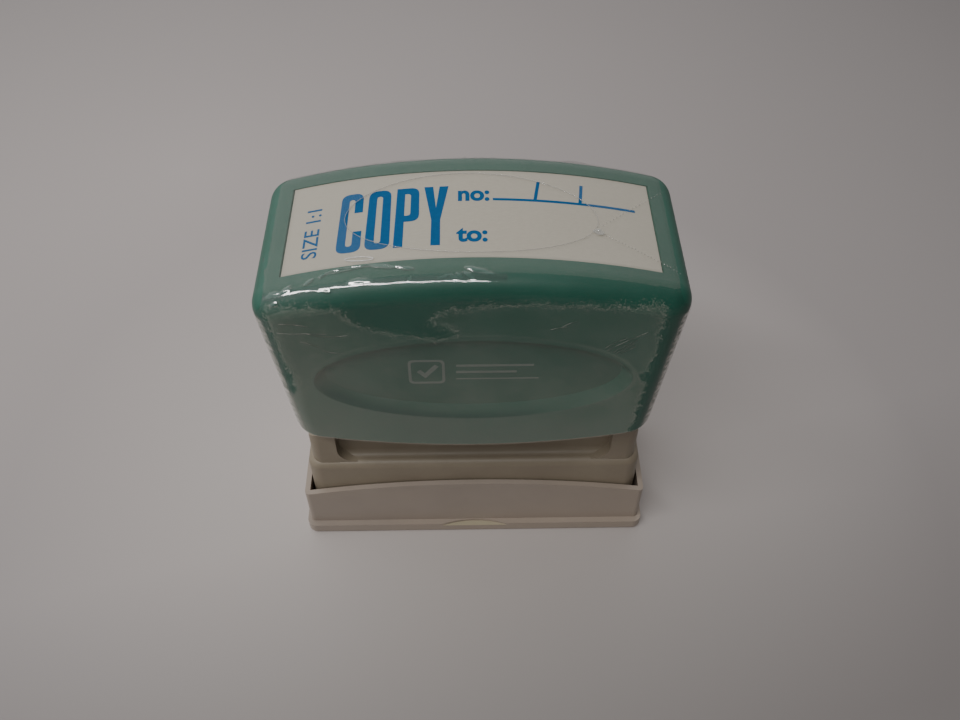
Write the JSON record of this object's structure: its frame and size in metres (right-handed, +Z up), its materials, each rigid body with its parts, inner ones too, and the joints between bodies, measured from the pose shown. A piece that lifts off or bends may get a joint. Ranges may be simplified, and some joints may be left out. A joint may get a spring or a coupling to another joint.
{
  "type": "self inking stamp",
  "caption": "Pre-inked hand stamp standing in its dust cap: arched pull-off handle with an index label, sprung skirt and a die block that prints when pressed.",
  "frame": {"origin": "centre of the cap's underside, on the surface that the stamp stands on", "axes": "+Z up, +X along the stamp's length to its right seen from the front, the front faces -Y"},
  "size_m": [0.0594, 0.0278, 0.0636],
  "materials": {
    "cap_plastic": "moulded styrene, fine satin",
    "skirt_plastic": "moulded, soft gloss",
    "inner_plastic": "moulded, satin",
    "handle_plastic": "moulded, gloss",
    "label_card": "smooth coated card, printed in one colour",
    "film": "clear shrink film, wrinkled",
    "die_rubber": "micro-porous, damp with ink",
    "foam": "open-cell foam, full of ink",
    "screw_steel": "zinc plated",
    "spring_steel": "bright drawn wire"
  },
  "bodies": {
    "cap": {"cap": "cap_plastic"},
    "skirt": {"skirt": "skirt_plastic", "return_spring_left": "spring_steel", "return_spring_right": "spring_steel"},
    "mount": {"mount": "inner_plastic", "die_retainer": "inner_plastic", "stamp_die": "die_rubber", "ink_foam": "foam", "carrier": "inner_plastic", "carrier_screw_left": "screw_steel", "carrier_screw_right": "screw_steel"},
    "depth_screw_left": {"depth_screw_left": "screw_steel"},
    "depth_screw_right": {"depth_screw_right": "screw_steel"},
    "handle": {"handle_shell": "handle_plastic", "index_label": "label_card", "shrink_film": "film"}
  },
  "joints": [
    {"name": "cap_pull", "type": "slide", "parent": "cap", "child": "skirt", "axis": [0, 0, 1], "range_m": [0, 0.016]},
    {"name": "press", "type": "slide", "parent": "skirt", "child": "mount", "axis": [0, 0, -1], "range_m": [0, 0.004], "stiffness_N_per_m": 800, "springref_m": -0.003, "deforming": ["return_spring_left", "return_spring_right"]},
    {"name": "handle_pull", "type": "slide", "parent": "mount", "child": "handle", "axis": [0, 0, 1], "range_m": [0, 0.022]},
    {"name": "depth_screw_left_turn", "type": "hinge", "parent": "mount", "child": "depth_screw_left", "pos_m": [-0.0184, 0, 0.04], "axis": [0, 0, 1], "range_deg": [-180, 180]},
    {"name": "depth_screw_right_turn", "type": "hinge", "parent": "mount", "child": "depth_screw_right", "pos_m": [0.0184, 0, 0.04], "axis": [0, 0, 1], "range_deg": [-180, 180]}
  ]
}
